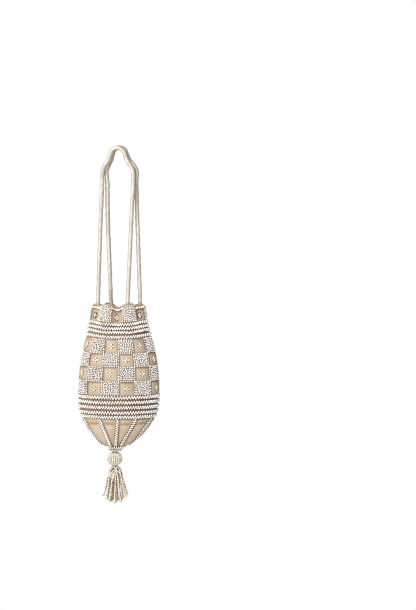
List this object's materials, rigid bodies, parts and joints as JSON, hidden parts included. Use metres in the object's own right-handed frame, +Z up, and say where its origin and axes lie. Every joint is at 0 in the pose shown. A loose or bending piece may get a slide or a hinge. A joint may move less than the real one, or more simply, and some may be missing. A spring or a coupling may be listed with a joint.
{
  "type": "drawstring pouch",
  "caption": "Egg-shaped silk drawstring pouch with bead checks, bead ropes and ribs, cord handles, and a bead-covered ball and tassel of bead strands at the tip.",
  "frame": {"origin": "under the top of the handle cords, midway between them, where the pouch hangs", "axes": "+Z up, +X to the right of the front, front towards -Y"},
  "size_m": [0.1189, 0.0716, 0.5176],
  "materials": {
    "silk": "soft satin silk, tan",
    "cord_silk": "rolled satin silk, ivory",
    "white_beads": "opaque white glass beads",
    "cream_beads": "opaque cream glass beads",
    "brown_sequin": "small dark brown sequin"
  },
  "bodies": {
    "root": {"pouch_body": "silk", "drawstring_casing": "silk", "front_handle_cord": "cord_silk", "back_handle_cord": "cord_silk", "mouth_bead_band": "white_beads", "upper_bead_row_1": "white_beads", "upper_bead_row_2": "white_beads", "upper_bead_row_3": "white_beads", "upper_bead_row_4": "white_beads", "checker_bead_field": "white_beads", "lower_bead_row_1": "white_beads", "lower_bead_row_2": "white_beads", "lower_bead_row_3": "white_beads", "lower_bead_row_4": "white_beads", "lower_bead_row_5": "white_beads", "bead_rib_1": "white_beads", "bead_rib_2": "white_beads", "bead_rib_3": "white_beads", "bead_rib_4": "white_beads", "bead_rib_5": "white_beads", "bead_rib_6": "white_beads", "bead_rib_7": "white_beads", "bead_rib_8": "white_beads", "bead_rib_9": "white_beads", "bead_rib_10": "white_beads", "bottom_collar": "white_beads", "bead_ball": "cream_beads", "hanging_thread": "cord_silk", "tassel": "cream_beads"}
  },
  "joints": []
}
